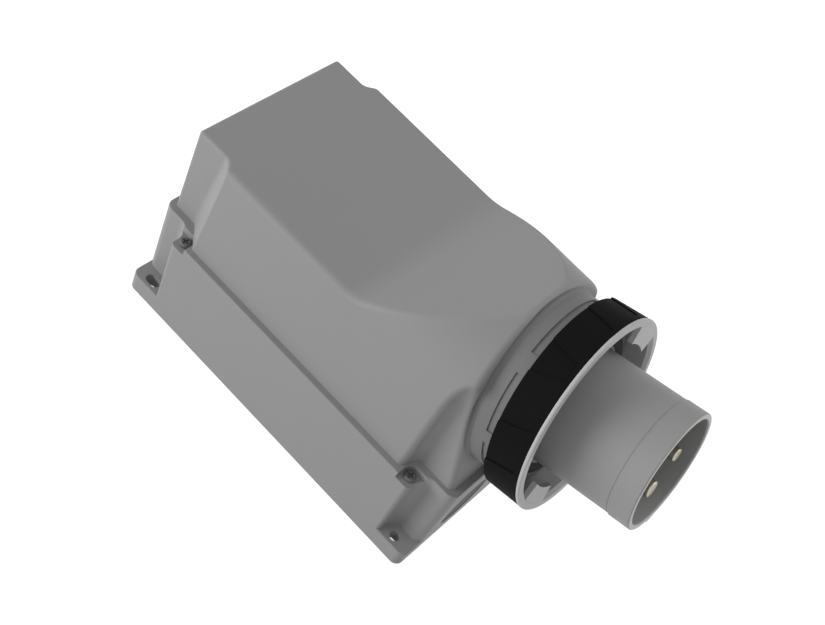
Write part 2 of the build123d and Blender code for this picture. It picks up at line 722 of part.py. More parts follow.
def shroud():
    """Contact shroud with a raised band, a key and a foot behind the flange."""
    band_rear = SHROUD_S - BAND_LENGTH
    body = turned(
        [
            (SHROUD_REAR_S, SHROUD_BORE_R),
            (SHROUD_REAR_S, SOCKET_TUBE_R),
            (SHROUD_FOOT_SEAT_S, SOCKET_TUBE_R),
            (SHROUD_FOOT_SEAT_S, SHROUD_R),
            (band_rear, SHROUD_R),
            (band_rear + BAND_STEP, BAND_R),
            (SHROUD_S - BAND_STEP, BAND_R),
            (SHROUD_S, BAND_R - BAND_STEP),
            (SHROUD_S, SHROUD_BORE_R + BAND_STEP),
            (SHROUD_S - BAND_STEP, SHROUD_BORE_R),
        ]
    )
    half = KEY_WIDTH / 2
    key_front = SHROUD_S - BAND_STEP
    key = block(SHROUD_R - CUT, BAND_R + KEY_HEIGHT, -half, half, key_front - KEY_LENGTH, key_front)
    body += Rot(0, 0, KEY_ANGLE) * key
    clear = cylinder(SMALL_SCREW_R + HOLE_GAP, SHROUD_REAR_S - CUT, SHROUD_FOOT_SEAT_S + CUT)
    for angle in CARRIER_SCREW_ANGLES:
        body -= polar(CARRIER_SCREW_PCR, angle) * clear
    return on_inlet(body)


def flange_gasket():
    """Flat gasket between the hood's nose and the inlet flange."""
    gasket = tube(FLANGE_R - FLANGE_GASKET_INSET, SPIGOT_R + SPIGOT_GAP, NOSE_S, FLANGE_S)
    hole = cylinder(FLANGE_SCREW_R + HOLE_GAP, NOSE_S - CUT, FLANGE_S + CUT)
    for angle in FLANGE_SCREW_ANGLES:
        gasket -= polar(FLANGE_SCREW_PCR, angle) * hole
    return on_inlet(gasket)


def shroud_seal():
    """Black face seal round the collar, with an inner bead and a raised outer lip."""
    inner = SEAL_INNER_R
    base = FRONT_WALL_S + SEAL_BASE
    top = FRONT_WALL_S + SEAL_THICK
    seal = turned(
        [
            (FRONT_WALL_S, inner),
            (top, inner),
            (top, inner + SEAL_BEAD),
            (base, inner + SEAL_BEAD),
            (base, SEAL_R - 2 * SEAL_LIP),
            (top, SEAL_R - SEAL_LIP),
            (top, SEAL_R),
            (FRONT_WALL_S, SEAL_R),
        ]
    )
    return on_inlet(seal)


# Contacts

PINS = {
    "pin_l1": (198.0, PHASE_PIN_R, PHASE_TIP_R),
    "pin_l2": (126.0, PHASE_PIN_R, PHASE_TIP_R),
    "pin_l3": (54.0, PHASE_PIN_R, PHASE_TIP_R),
    "pin_neutral": (342.0, PHASE_PIN_R, PHASE_TIP_R),
    "pin_earth": (270.0, EARTH_PIN_R, EARTH_TIP_R),
}


def pin_places():
    """Radius from the axis, angle and pin radius of all six pins."""
    return [(PIN_PCR, angle, pin_r) for angle, pin_r, _ in PINS.values()] + [(0.0, 0.0, PILOT_PIN_R)]


def contact_carrier():
    """Insulator that fills the shroud's root and carries the pins."""
    carrier = cylinder(SHROUD_BORE_R - CARRIER_GAP, SHROUD_REAR_S, CARRIER_FACE_S)
    carrier += cylinder(SOCKET_TUBE_R, CARRIER_REAR_S, SHROUD_REAR_S)
    for pcr, angle, pin_r in pin_places():
        hole = cylinder(pin_r + PIN_ROOT_STEP + PIN_GAP, CARRIER_REAR_S - CUT, CARRIER_FACE_S + CUT)
        seat = CARRIER_REAR_S + SHOULDER_LENGTH
        hole += cylinder(pin_r + SHOULDER_STEP + PIN_GAP, CARRIER_REAR_S - CUT, seat)
        carrier -= polar(pcr, angle) * hole
    clear = cylinder(SMALL_SCREW_R + HOLE_GAP, CARRIER_REAR_S - CUT, SHROUD_REAR_S + CUT)
    for angle in CARRIER_SCREW_ANGLES:
        carrier -= polar(CARRIER_SCREW_PCR, angle) * clear
    pilot = cylinder(SMALL_SCREW_R + SCREW_FIT, CARRIER_REAR_S - CUT, CARRIER_REAR_S + SMALL_SCREW_REACH)
    for angle in RETAINER_SCREW_ANGLES:
        carrier -= polar(RETAINER_SCREW_PCR, angle) * pilot
    return on_inlet(carrier)


def contact_retainer():
    """Plate behind the carrier that holds the pins' shoulders."""
    plate = cylinder(RETAINER_R, RETAINER_REAR_S, CARRIER_REAR_S)
    for pcr, angle, pin_r in pin_places():
        neck = cylinder(pin_r + PIN_ROOT_STEP + NECK_GAP, RETAINER_REAR_S - CUT, CARRIER_REAR_S + CUT)
        plate -= polar(pcr, angle) * neck
    clear = cylinder(SMALL_SCREW_R + HOLE_GAP, RETAINER_REAR_S - CUT, CARRIER_REAR_S + CUT)
    for angle in RETAINER_SCREW_ANGLES:
        plate -= polar(RETAINER_SCREW_PCR, angle) * clear
    return on_inlet(plate)


def contact_pin(pin_r, tip_s, tip_r, side, wire_r, screw_r):
    """Pin with a round tip, a thicker root, a shoulder and a terminal block, along Z."""
    root_r = pin_r + PIN_ROOT_STEP
    root_end = CARRIER_FACE_S - PIN_ROOT_DROP
    shaft = turned(
        [
            (RETAINER_REAR_S, 0),
            (RETAINER_REAR_S, root_r),
            (CARRIER_REAR_S, root_r),
            (CARRIER_REAR_S, pin_r + SHOULDER_STEP),
            (CARRIER_REAR_S + SHOULDER_LENGTH, pin_r + SHOULDER_STEP),
            (CARRIER_REAR_S + SHOULDER_LENGTH, root_r),
            (root_end, root_r),
            (root_end + PIN_ROOT_STEP, pin_r),
            (tip_s, pin_r),
            (tip_s, 0),
        ]
    )
    shaft = fillet(shaft.edges().filter_by(GeomType.CIRCLE).sort_by(Axis.Z)[-1], tip_r)
    half = side / 2
    rear = RETAINER_REAR_S - TERMINAL_LENGTH
    terminal = block(-half, half, -half, half, rear, RETAINER_REAR_S)
    terminal -= cylinder(wire_r, rear - CUT, rear + WIRE_BORE_DEPTH)
    hole = Pos(0, 0, rear + TERMINAL_SCREW_BACK) * Rot(0, 90, 0) * cylinder(screw_r + SCREW_FIT, 0, side)
    return shaft + (terminal - hole)


def pin(name):
    """One of the five power pins, in its place."""
    angle, pin_r, tip_r = PINS[name]
    shape = contact_pin(pin_r, PIN_TIP_S, tip_r, TERMINAL_WIDTH, WIRE_BORE_R, TERMINAL_SCREW_R)
    return on_inlet(polar(PIN_PCR, angle) * Rot(0, 0, angle) * shape)


def pilot_pin():
    """The shorter pilot pin on the axis."""
    side = PILOT_TERMINAL_WIDTH
    shape = contact_pin(PILOT_PIN_R, PILOT_TIP_S, PILOT_TIP_R, side, PILOT_WIRE_BORE_R, PILOT_SCREW_R)
    return on_inlet(shape)


def terminal_screw(radius, side, head_r):
    """Clamping screw of a terminal block, pointing inwards from its outer face."""
    height = RETAINER_REAR_S - TERMINAL_LENGTH + TERMINAL_SCREW_BACK
    screw = pan_screw(radius, side / 2 - TERMINAL_SCREW_STOP, head_r, TERMINAL_HEAD_H)
    return Pos(side / 2, 0, height) * Rot(0, 90, 0) * screw


def terminal_screws():
    """Clamping screws of the five power terminals."""
    one = terminal_screw(TERMINAL_SCREW_R, TERMINAL_WIDTH, TERMINAL_HEAD_R)
    places = [polar(PIN_PCR, angle) * Rot(0, 0, angle) for angle, _, _ in PINS.values()]
    return on_inlet(joined([place * one for place in places]))


def pilot_terminal_screw():
    """Clamping screw of the pilot terminal."""
    return on_inlet(terminal_screw(PILOT_SCREW_R, PILOT_TERMINAL_WIDTH, PILOT_HEAD_R))


# Locking ring


def bayonet_ring():
    """Light sleeve with its rim, two lugs and four guide tabs."""
    ring = turned(
        [
            (RING_REAR_S, RING_BORE_R),
            (RING_REAR_S, RING_SLEEVE_R),
            (RIM_REAR_S, RING_SLEEVE_R),
            (RIM_REAR_S, RIM_R),
            (RIM_FRONT_S, RIM_R),
            (RIM_FRONT_S, RING_BORE_R + RIM_INNER_CHAMFER),
            (RIM_FRONT_S - RIM_INNER_CHAMFER, RING_BORE_R),
        ]
    )
    outermost = ring.edges().filter_by(GeomType.CIRCLE).group_by(lambda e: round(e.radius, 3))[-1]
    ring = fillet(outermost, RIM_EDGE_R)
    lug_rear = RIM_FRONT_S - LUG_THICK
    lug_inner = RING_BORE_R - LUG_REACH
    for angle in LUG_ANGLES:
        ring += sector(RING_BORE_R + CUT, lug_inner, angle, LUG_SPAN_ANGLE, lug_rear, RIM_FRONT_S)
    tab_front = POCKET_FRONT_S - TAB_FRONT_GAP
    for angle in TAB_POCKET_ANGLES:
        start = angle + TAB_START_ANGLE
        ring += sector(RING_BORE_R + CUT, FLANGE_R - TAB_DEPTH, start, TAB_SPAN_ANGLE, RING_REAR_S, tab_front)
    return on_inlet(ring)


def grip_radius(s):
    """Outer radius of the grip at a distance along the axis."""
    share = (s - GRIP_REAR_S) / (RIM_REAR_S - GRIP_REAR_S)
    return GRIP_REAR_R + share * (GRIP_FRONT_R - GRIP_REAR_R)


def grip_core(drop):
    """Cone that lies under the grip's surface by the given depth, longer than the grip."""
    low = GRIP_REAR_S - OVERSHOOT
    high = RIM_REAR_S + OVERSHOOT
    return turned([(low, 0), (low, grip_radius(low) - drop), (high, grip_radius(high) - drop), (high, 0)])


def facet_prism(rear_low, rear_high, front_low, front_high, rounded):
    """Slanted facet drawn on the tangent plane, X round the ring, and pushed through the grip."""
    points = [(rear_low, GRIP_REAR_S - CUT), (rear_high, GRIP_REAR_S - CUT)]
    points += [(front_high, GRIP_END_S), (front_low, GRIP_END_S)]
    outline = make_face(Polyline(*points, close=True))
    corners = [v for v in outline.vertices() if v.Y > 0 and any(abs(v.X - x) < NEAR for x in rounded)]
    prism = extrude(fillet(corners, GRIP_CORNER_R), OVERSHOOT / 2, both=True)
    tangent = Plane(origin=(GRIP_FRONT_R, 0, 0), x_dir=(0, 1, 0), z_dir=(1, 0, 0))
    return tangent.location * prism


def side_facet(centre, inner, outer, side):
    """Cutter for the facet between two step lines on one side of a grip centre."""
    half_angle = (outer - inner) / 2
    half = GRIP_FRONT_R * sin_deg(half_angle)
    slant = GRIP_FRONT_R * sin_deg(GRIP_SLANT_ANGLE)
    prism = facet_prism(-half, half, -half - slant, half - slant, (half - slant,))
    drop = GRIP_DEPTH / 2
    cutter = prism - Pos(0, -drop / sin_deg(half_angle), 0) * grip_core(drop)
    if side < 0:
        cutter = mirror(cutter, Plane.XZ)
    return Rot(0, 0, centre + side * (inner + half_angle)) * cutter


def centre_facet(centre):
    """Cutter for the even facet between the two step lines nearest a grip centre."""
    rear = GRIP_FRONT_R * sin_deg(GRIP_OFFSET_ANGLES[0])
    front = GRIP_FRONT_R * sin_deg(GRIP_OFFSET_ANGLES[0] - GRIP_SLANT_ANGLE)
    prism = facet_prism(-rear, rear, -front, front, (-front, front))
    return Rot(0, 0, centre) * (prism - grip_core(GRIP_DEPTH))


def grip_sleeve():
    """Black sleeve on the ring, with its stepped grip facets."""
    sleeve = turned(
        [
            (GRIP_REAR_S, RING_SLEEVE_R),
            (GRIP_REAR_S, GRIP_REAR_R),
            (RIM_REAR_S, GRIP_FRONT_R),
            (RIM_REAR_S, RING_SLEEVE_R),
        ]
    )
    for centre in GRIP_CENTRE_ANGLES:
        sleeve -= centre_facet(centre)
        for side in (-1, 1):
            for inner, outer in zip(GRIP_OFFSET_ANGLES, GRIP_OFFSET_ANGLES[1:]):
                sleeve -= side_facet(centre, inner, outer, side)
    return on_inlet(sleeve)


write("base_box", wall_box())
write("screw_inserts", screw_inserts())
write("hood", hood())
write("hood_gasket", hood_gasket())
write("hood_screws", hood_screws())
write("inlet_flange", inlet_flange())
write("flange_gasket", flange_gasket())
write("flange_screws", flange_screws())
write("shroud", shroud())
write("shroud_seal", shroud_seal())
write("contact_carrier", contact_carrier())
write("carrier_screws", carrier_screws())
write("contact_retainer", contact_retainer())
write("retainer_screws", retainer_screws())
for pin_name in PINS:
    write(pin_name, pin(pin_name))
write("pin_pilot", pilot_pin())
write("terminal_screws", terminal_screws())
write("pilot_terminal_screw", pilot_terminal_screw())
write("bayonet_ring", bayonet_ring())
write("grip_sleeve", grip_sleeve())
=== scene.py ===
# %% [markdown]
# # An industrial wall inlet, dressed for a studio picture
#
# The object is a grey moulded box with a hood. A round shroud with contact pins leans out
# of the hood's nose, inside a ring with a black grip. The CAD frame already holds every
# rigid shape at its real size, so this script adds the finishes, the few shapes that are
# too fine for the frame, the light, the floor and the camera.

# %% Frame
import math

import bpy
import numpy as np
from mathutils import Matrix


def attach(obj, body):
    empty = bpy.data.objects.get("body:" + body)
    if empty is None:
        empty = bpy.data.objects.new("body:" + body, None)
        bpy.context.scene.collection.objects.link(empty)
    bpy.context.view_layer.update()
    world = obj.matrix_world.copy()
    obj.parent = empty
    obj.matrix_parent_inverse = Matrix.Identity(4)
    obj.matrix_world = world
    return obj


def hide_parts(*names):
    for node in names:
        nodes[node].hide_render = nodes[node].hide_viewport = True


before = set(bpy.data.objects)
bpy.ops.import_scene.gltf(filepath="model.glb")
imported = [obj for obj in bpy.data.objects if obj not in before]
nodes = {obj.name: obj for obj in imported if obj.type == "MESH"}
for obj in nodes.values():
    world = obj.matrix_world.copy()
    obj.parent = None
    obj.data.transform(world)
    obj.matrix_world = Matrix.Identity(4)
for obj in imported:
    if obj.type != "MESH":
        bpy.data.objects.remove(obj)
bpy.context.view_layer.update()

# %% [markdown]
# ## The camera
#
# The camera stands above the near front corner and looks down along the box. A camera can
# be aimed by a tracking constraint or by a turn written as three angles. The angles are
# used here, because this view is rolled as well as tilted, and a constraint would need a
# helper object for the roll.

# %% Camera
CAMERA_PLACE = (0.177507, -0.464681, 0.671127)
CAMERA_TURN = (35.72057, -19.28720, 42.91554)
CAMERA_LENS = 59.4814
SENSOR_WIDTH = 36.0


def add_camera():
    """A camera at its place, turned by the three angles about X, Y and Z in that order."""
    data = bpy.data.cameras.new("camera")
    data.lens = CAMERA_LENS
    data.sensor_width = SENSOR_WIDTH
    camera = bpy.data.objects.new("camera", data)
    camera.location = CAMERA_PLACE
    camera.rotation_euler = [math.radians(angle) for angle in CAMERA_TURN]
    bpy.context.scene.collection.objects.link(camera)
    bpy.context.scene.camera = camera
    return camera


print("camera lens:", add_camera().data.lens)

# %% [markdown]
# ## Shader sums in Python
#
# A finish is a small network of nodes. Networks can be drawn by hand in the editor or
# built by a script. Here a socket is wrapped in a class, so that a sum of patterns reads
# as a sum, and each plus or times sign becomes one Math node.


# %% Shader helpers
class Wire:
    """An output socket that can be added and multiplied like a number."""

    def __init__(self, recipe, socket):
        self.recipe = recipe
        self.socket = socket

    def _math(self, operation, first, second):
        return self.recipe.node("ShaderNodeMath", {"operation": operation}, {0: first, 1: second})

    def __add__(self, other):
        return self._math("ADD", self, other)

    def __radd__(self, other):
        return self._math("ADD", other, self)

    def __mul__(self, other):
        return self._math("MULTIPLY", self, other)

    def __rmul__(self, other):
        return self._math("MULTIPLY", other, self)


class Recipe:
    """The nodes of one material or world, with one method that adds any node."""

    def __init__(self, owner):
        owner.use_nodes = True
        self.owner = owner
        self.tree = owner.node_tree
        self.tree.nodes.clear()

    def node(self, kind, settings=None, inputs=None, output=0):
        """Adds a node, sets its settings first and then the values or links of its sockets."""
        node = self.tree.nodes.new(kind)
        for name, value in (settings or {}).items():
            setattr(node, name, value)
        for name, value in (inputs or {}).items():
            socket = node.inputs[name]
            if isinstance(value, Wire):
                self.tree.links.new(value.socket, socket)
            else:
                socket.default_value = value
        return Wire(self, node.outputs[output]) if node.outputs else None

    def finish(self, shader, kind="ShaderNodeOutputMaterial"):
        """Links a shader to the output node."""
        self.node(kind, {}, {"Surface": shader})
        return self.owner


def grey(value):
    """A neutral colour from one linear value."""
    return (value, value, value, 1.0)


def blend(recipe, share, first, second):
    """A colour that goes from the first to the second as the share grows."""
    inputs = {0: share, 6: (*first, 1.0), 7: (*second, 1.0)}
    return recipe.node("ShaderNodeMix", {"data_type": "RGBA"}, inputs, output=2)


print("shader helpers ready")


# %% [markdown]
# ## Moulded plastic
#
# The box, hood and inlet are injection moulded in a grey plastic with a finely eroded
# skin. A picture of such a skin could be wrapped on, but noise on Object coordinates needs
# no unwrapping and keeps its real scale on every piece. One noise is as large as a hand
# and shifts the colour a little, one is as fine as the grain and tilts the surface.

# %% Moulded plastic finish
GRAIN_SCALE = 1800.0
CLOUD_SCALE = 9.0
CLOUD_DETAIL = 3.0
GRAIN_DETAIL = 2.0
CLOUD_GLOSS = 0.08
GRAIN_GLOSS = 0.06
GLOSS_MEAN = (CLOUD_GLOSS + GRAIN_GLOSS) / 2
GRAIN_HEIGHT = 0.00005


def moulded(name, colour, roughness, grain=0.04, cloud=0.03, shine=0.4):
    """Plastic whose colour and gloss drift slowly, with a fine grain in its surface."""
    recipe = Recipe(bpy.data.materials.new(name))
    place = recipe.node("ShaderNodeTexCoord", output="Object")
    slow_inputs = {"Vector": place, "Scale": CLOUD_SCALE, "Detail": CLOUD_DETAIL}
    slow = recipe.node("ShaderNodeTexNoise", {}, slow_inputs)
    fine_inputs = {"Vector": place, "Scale": GRAIN_SCALE, "Detail": GRAIN_DETAIL}
    fine = recipe.node("ShaderNodeTexNoise", {}, fine_inputs)
    darker = tuple(channel * (1 - cloud) for channel in colour)
    lighter = tuple(channel * (1 + cloud) for channel in colour)
    bump = {"Strength": grain, "Distance": GRAIN_HEIGHT, "Height": fine}
    inputs = {
        "Base Color": blend(recipe, slow, darker, lighter),
        "Roughness": slow * CLOUD_GLOSS + fine * GRAIN_GLOSS + (roughness - GLOSS_MEAN),
        "Normal": recipe.node("ShaderNodeBump", {}, bump),
        "Specular IOR Level": shine,
    }
    return recipe.finish(recipe.node("ShaderNodeBsdfPrincipled", {}, inputs))


print("plastic grain:", GRAIN_SCALE, "cloud:", CLOUD_SCALE)

# %% [markdown]
# ## Metal
#
# Screws are zinc-plated steel and the pins are nickel-plated brass. Metal can be given a
# picture of its scratches. Here a noise stretched along one axis stands for the turning
# marks, and it only changes the gloss and the tilt of the surface.

# %% Metal finish
TURNING_SCALE = 900.0
TURNING_STRETCH = (1.0, 0.08, 0.08)
TURNING_DETAIL = 2.0
TURNING_GLOSS = 0.15
TURNING_OFFSET = 0.07
TURNING_BUMP = 0.08
TURNING_HEIGHT = 0.00003
STAIN_SCALE = 120.0
STAIN_DETAIL = 3.0
STAIN_SHADE = 0.92


def plated(name, colour, roughness, metallic=1.0):
    """Plated metal with fine turning marks in its gloss."""
    recipe = Recipe(bpy.data.materials.new(name))
    place = recipe.node("ShaderNodeTexCoord", output="Object")
    squeezed = recipe.node("ShaderNodeMapping", {}, {"Vector": place, "Scale": TURNING_STRETCH})
    mark_inputs = {"Vector": squeezed, "Scale": TURNING_SCALE, "Detail": TURNING_DETAIL}
    marks = recipe.node("ShaderNodeTexNoise", {}, mark_inputs)
    stain_inputs = {"Vector": place, "Scale": STAIN_SCALE, "Detail": STAIN_DETAIL}
    stain = recipe.node("ShaderNodeTexNoise", {}, stain_inputs)
    darker = tuple(channel * STAIN_SHADE for channel in colour)
    bump = {"Strength": TURNING_BUMP, "Distance": TURNING_HEIGHT, "Height": marks}
    inputs = {
        "Base Color": blend(recipe, stain, darker, colour),
        "Metallic": metallic,
        "Roughness": marks * TURNING_GLOSS + (roughness - TURNING_OFFSET),
        "Normal": recipe.node("ShaderNodeBump", {}, bump),
    }
    return recipe.finish(recipe.node("ShaderNodeBsdfPrincipled", {}, inputs))


print("metal turning marks:", TURNING_SCALE)

# %% [markdown]
# ## One finish for each node
#
# Each CAD piece gets its finish in the material slots that it came with. Pieces of one
# batch of plastic share a material, as they share a hopper in the factory.

# %% Finishes on the CAD nodes
finishes = {
    "box": moulded("box_plastic", (0.30, 0.30, 0.30), 0.55),
    # The flange's grey is partly a darker plastic and partly painted shade for the hollow between
    # the hood's nose and the ring.
    "flange": moulded("flange_grey_painted_shade", (0.18, 0.18, 0.18), 0.55),
    "shroud": moulded("shroud_plastic", (0.32, 0.32, 0.32), 0.55),
    "ring": moulded("ring_plastic", (0.53, 0.53, 0.53), 0.45),
    "grip": moulded(
        "grip_rubber", (0.0095, 0.0095, 0.0095), 0.65, grain=0.08, cloud=0.1, shine=0.02
    ),
    "seal": moulded("seal_rubber", (0.02, 0.02, 0.02), 0.65, grain=0.1, cloud=0.1, shine=0.1),
    "gasket": moulded("gasket_foam", (0.16, 0.16, 0.16), 0.8, grain=0.3, cloud=0.15, shine=0.1),
    # The membranes' dark grey is painted shade for the recessed cable entries.
    "membrane": moulded(
        "membrane_painted_shade", (0.06, 0.06, 0.06), 0.6, grain=0.1, cloud=0.06, shine=0.2
    ),
    "carrier": moulded("carrier_plastic", (0.10, 0.10, 0.10), 0.5),
    "screw": plated("screw_steel", (0.14, 0.14, 0.14), 0.6, metallic=0.2),
    "brass": plated("insert_brass", (0.72, 0.53, 0.26), 0.35),
    "pin": plated("pin_nickel", (0.49, 0.45, 0.37), 0.38),
    "liner": moulded("bore_plastic", (0.33, 0.33, 0.33), 0.6, shine=0.2),
    # The lip's pale grey is a painted highlight; the real lip has the shroud's grey.
    "lip": moulded("lip_painted_highlight", (0.56, 0.56, 0.56), 0.45),
}
node_finish = {
    "base_box": "box",
    "hood": "box",
    "inlet_flange": "flange",
    "shroud": "shroud",
    "bayonet_ring": "ring",
    "grip_sleeve": "grip",
    "shroud_seal": "seal",
    "hood_gasket": "gasket",
    "flange_gasket": "gasket",
    "contact_carrier": "carrier",
    "contact_retainer": "carrier",
    "screw_inserts": "brass",
}
for name in nodes:
    if name not in node_finish:
        node_finish[name] = "pin" if name.startswith("pin_") else "screw"


def dress(node, material):
    """Puts one material in every slot of a node."""
    if not node.data.materials:
        node.data.materials.append(material)
    for index in range(len(node.data.materials)):
        node.data.materials[index] = material


for name, finish in node_finish.items():
    dress(nodes[name], finishes[finish])
print("dressed:", len(node_finish))

# %% [markdown]
# ## Axes of the round parts
#
# The inlet's round parts came out of round moulds, so each is a profile carried round an
# axis. A Screw modifier could turn a drawn profile. Here the whole grid of points comes
# from one numpy sum, which leaves no modifier to apply and its seams closed. Distances
# are in millimetres along the inlet axis, which crosses the front of the box.

# %% Axes
MILLIMETRE = 0.001
AXIS_TILT = math.radians(14.8)
AXIS_CROSSING = (0.116, 0.0, 0.125748)


def axes(place, tilt=0.0, side=1):
    """Place, forward, sideways and upward directions of an axis that tilts up from X."""
    forward = (side * math.cos(tilt), 0.0, math.sin(tilt))
    upward = (-side * math.sin(tilt), 0.0, math.cos(tilt))
    return np.array([place, forward, (0.0, 1.0, 0.0), upward])


INLET = axes(AXIS_CROSSING, AXIS_TILT)
print("inlet axis:", INLET[1].round(4))

# %% [markdown]
# ## Softened profiles
#
# A moulded edge is never sharp, and its rounding is what catches the light. A Bevel
# modifier could round the edges later. Here the profile's corners are rounded before it is
# carried round, so each corner has a rounding of its own.

# %% Profiles
CURVE_STEPS = 5
SIDE_POINT_GAP = 0.12
MOST_OF_A_SIDE = 0.48


def softened(rows, steps=CURVE_STEPS):
    """Outline from rows (x, y, reach), each corner P a curve (1-t)^2 A + 2t(1-t) P + t^2 B.

    A and B lie on the two sides at the reach from P. One more point beyond each keeps the
    flat sides flat when the surface is shaded smooth.
    """
    values = np.array(rows, dtype=float)
    corner, reach = values[:, :2], values[:, 2:]

    def along(side, extra):
        length = np.linalg.norm(side, axis=1, keepdims=True)
        return corner + side * np.minimum(reach + extra, MOST_OF_A_SIDE * length) / length

    back = np.roll(corner, 1, axis=0) - corner
    ahead = np.roll(corner, -1, axis=0) - corner
    t = np.linspace(0.0, 1.0, steps)[None, :, None]
    start, end = along(back, 0.0)[:, None], along(ahead, 0.0)[:, None]
    curve = (1 - t) ** 2 * start + 2 * t * (1 - t) * corner[:, None] + t**2 * end
    before = along(back, SIDE_POINT_GAP)[:, None]
    after = along(ahead, SIDE_POINT_GAP)[:, None]
    return np.concatenate([before, curve, after], axis=1).reshape(-1, 2)


print("points at each corner:", CURVE_STEPS + 2)

# %% [markdown]
# ## Grids carried round or along
#
# Three ways of carrying an outline make every piece below: all the way round, part of the
# way round, and straight along. Each returns its points and its faces as whole arrays.


# %% Grids
def quads(rows, columns, wrap_rows):
    """Corner numbers of the faces between neighbours of a grid whose columns are closed."""
    row = np.arange(rows if wrap_rows else rows - 1)[:, None]
    column = np.arange(columns)[None, :]
    below, beyond = (row + 1) % rows, (column + 1) % columns
    corners = [
        row * columns + column,
        row * columns + beyond,
        below * columns + beyond,
        below * columns + column,
    ]
    return np.stack(np.broadcast_arrays(*corners), axis=-1).reshape(-1, 4)


def end_faces(rows, columns):
    """One many-sided face on the first row of a grid and one on its last."""
    first = np.arange(columns)
    return np.stack([first[::-1], first + (rows - 1) * columns])


def turned(profile, axis=INLET, centre=(0.0, 0.0), steps=180):
    """Closed profile (s, r) carried all the way round a line beside the axis.

    Point: place + s forward + (u + r cos a) sideways + (v + r sin a) upward, where (u, v)
    is the centre and a is the angle.
    """
    place, forward, sideways, upward = axis
    angle = np.linspace(0.0, 2 * math.pi, steps, endpoint=False)[None, :, None]
    s, r = (profile[:, i][:, None, None] for i in range(2))
    u = centre[0] + r * np.cos(angle)
    v = centre[1] + r * np.sin(angle)
    points = place + MILLIMETRE * (s * forward + (u * sideways + v * upward))
    return points.reshape(-1, 3), [quads(len(profile), steps, True)]


def swept(profile, start, end, axis=INLET, steps=40):
    """Closed profile (s, r) carried from one angle to another, with both ends filled.

    Point: place + s forward + r cos a sideways + r sin a upward, where a is the angle.
    """
    place, forward, sideways, upward = axis
    angle = np.radians(np.linspace(start, end, steps))[:, None, None]
    s, r = (profile[:, i][None, :, None] for i in range(2))
    across = r * np.cos(angle) * sideways + r * np.sin(angle) * upward
    points = place + MILLIMETRE * (s * forward + across)
    count = len(profile)
    return points.reshape(-1, 3), [quads(steps, count, False), end_faces(steps, count)]


def prism(outline, low, high, edge, axis=INLET):
    """Closed outline (u, v) carried from low to high, drawn in by the edge at both ends.

    Point: place + s forward + u sideways + v upward, where s takes four values.
    """
    place, forward, sideways, upward = axis
    centre = outline.mean(axis=0)
    shrink = 1 - edge / np.abs(outline - centre).max()
    stations = np.array([(low, shrink), (low + edge, 1.0), (high - edge, 1.0), (high, shrink)])
    s, scale = stations[:, None, :1], stations[:, None, 1:]
    uv = centre + (outline - centre)[None, :, :] * scale
    across = uv[:, :, :1] * sideways + uv[:, :, 1:] * upward
    points = place + MILLIMETRE * (s * forward + across)
    rows, count = len(stations), len(outline)
    return points.reshape(-1, 3), [quads(rows, count, False), end_faces(rows, count)]


print("grid makers:", turned.__name__, swept.__name__, prism.__name__)

# %% [markdown]
# ## From grids to pieces
#
# A face shows its outside only if its corners run the right way round. Normals could be
# recalculated in Blender. The sign of the enclosed volume tells the same thing in one sum,
# and a grid that gives a negative volume is simply turned over.


# %% Pieces
def fan(faces):
    """Triangles (first, k, k + 1) of faces that all have the same number of corners."""
    return np.concatenate([faces[:, [0, k, k + 1]] for k in range(1, faces.shape[1] - 1)])


def encloses(points, blocks):
    """True if the sum of a . (b x c) over all triangles, the enclosed volume, is positive."""
    triangles = np.concatenate([fan(faces) for faces in blocks])
    a, b, c = (points[triangles[:, i]] for i in range(3))
    return np.sum(a * np.cross(b, c)) >= 0


def piece(name, grids, finish, body):
    """One object from closed grids, dressed, faces turned outwards, riding on a body."""
    points, faces = [], []
    for grid_points, blocks in grids:
        if not encloses(grid_points - grid_points.mean(axis=0), blocks):
            blocks = [block[:, ::-1] for block in blocks]
        for block in blocks:
            faces += (block + len(points)).tolist()
        points += grid_points.tolist()
    mesh = bpy.data.meshes.new(name)
    mesh.from_pydata(points, [], faces)
    mesh.polygons.foreach_set("use_smooth", np.ones(len(faces), dtype=bool))
    mesh.materials.append(finishes[finish])
    made = bpy.data.objects.new(name, mesh)
    bpy.context.scene.collection.objects.link(made)
    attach(made, body)
    print(name, "points:", len(points), "faces:", len(faces))
    return made


print("finishes to choose from:", len(finishes))

# %% [markdown]
# ## Shroud
#
# The shroud is the tube that a connector slides over. A fine groove and a small step show
# where its raised band starts. The CAD solid has a plain step there, so this piece takes
# its place, with the key below the mouth as a second closed surface.

# %% Shroud
ROUND_STEPS = 240
SHROUD_R = 35.0
SHROUD_BORE = 32.6
BAND_R = 35.5
BAND_START = 58.3
BAND_RAMP = 0.4
GROOVE_R = 34.75
GROOVE_REAR = 0.9
GROOVE_FLOOR = 0.6
MOUTH = 71.84
TUBE_END = 71.6
FOOT_R = 40.2
FOOT_REAR = -14.0
FOOT_FRONT = -11.5
KEY_HALF_WIDTH = 3.5
KEY_ROOT = 34.0
KEY_TOP = 39.0
KEY_ROUNDING = 0.5
KEY_EDGE = 0.3
KEY_REAR = MOUTH - 20.5
KEY_FRONT = MOUTH - 0.8
shroud_profile = softened(
    [
        (FOOT_REAR, SHROUD_BORE, 0.3),
        (FOOT_REAR, FOOT_R, 0.3),
        (FOOT_FRONT, FOOT_R, 0.3),
        (FOOT_FRONT, SHROUD_R, 0.2),
        (BAND_START - GROOVE_REAR, SHROUD_R, 0.1),
        (BAND_START - GROOVE_FLOOR, GROOVE_R, 0.1),
        (BAND_START, GROOVE_R, 0.1),
        (BAND_START + BAND_RAMP, BAND_R, 0.2),
        (TUBE_END, BAND_R, 0.6),
        (TUBE_END, SHROUD_BORE, 0.45),
    ]
)
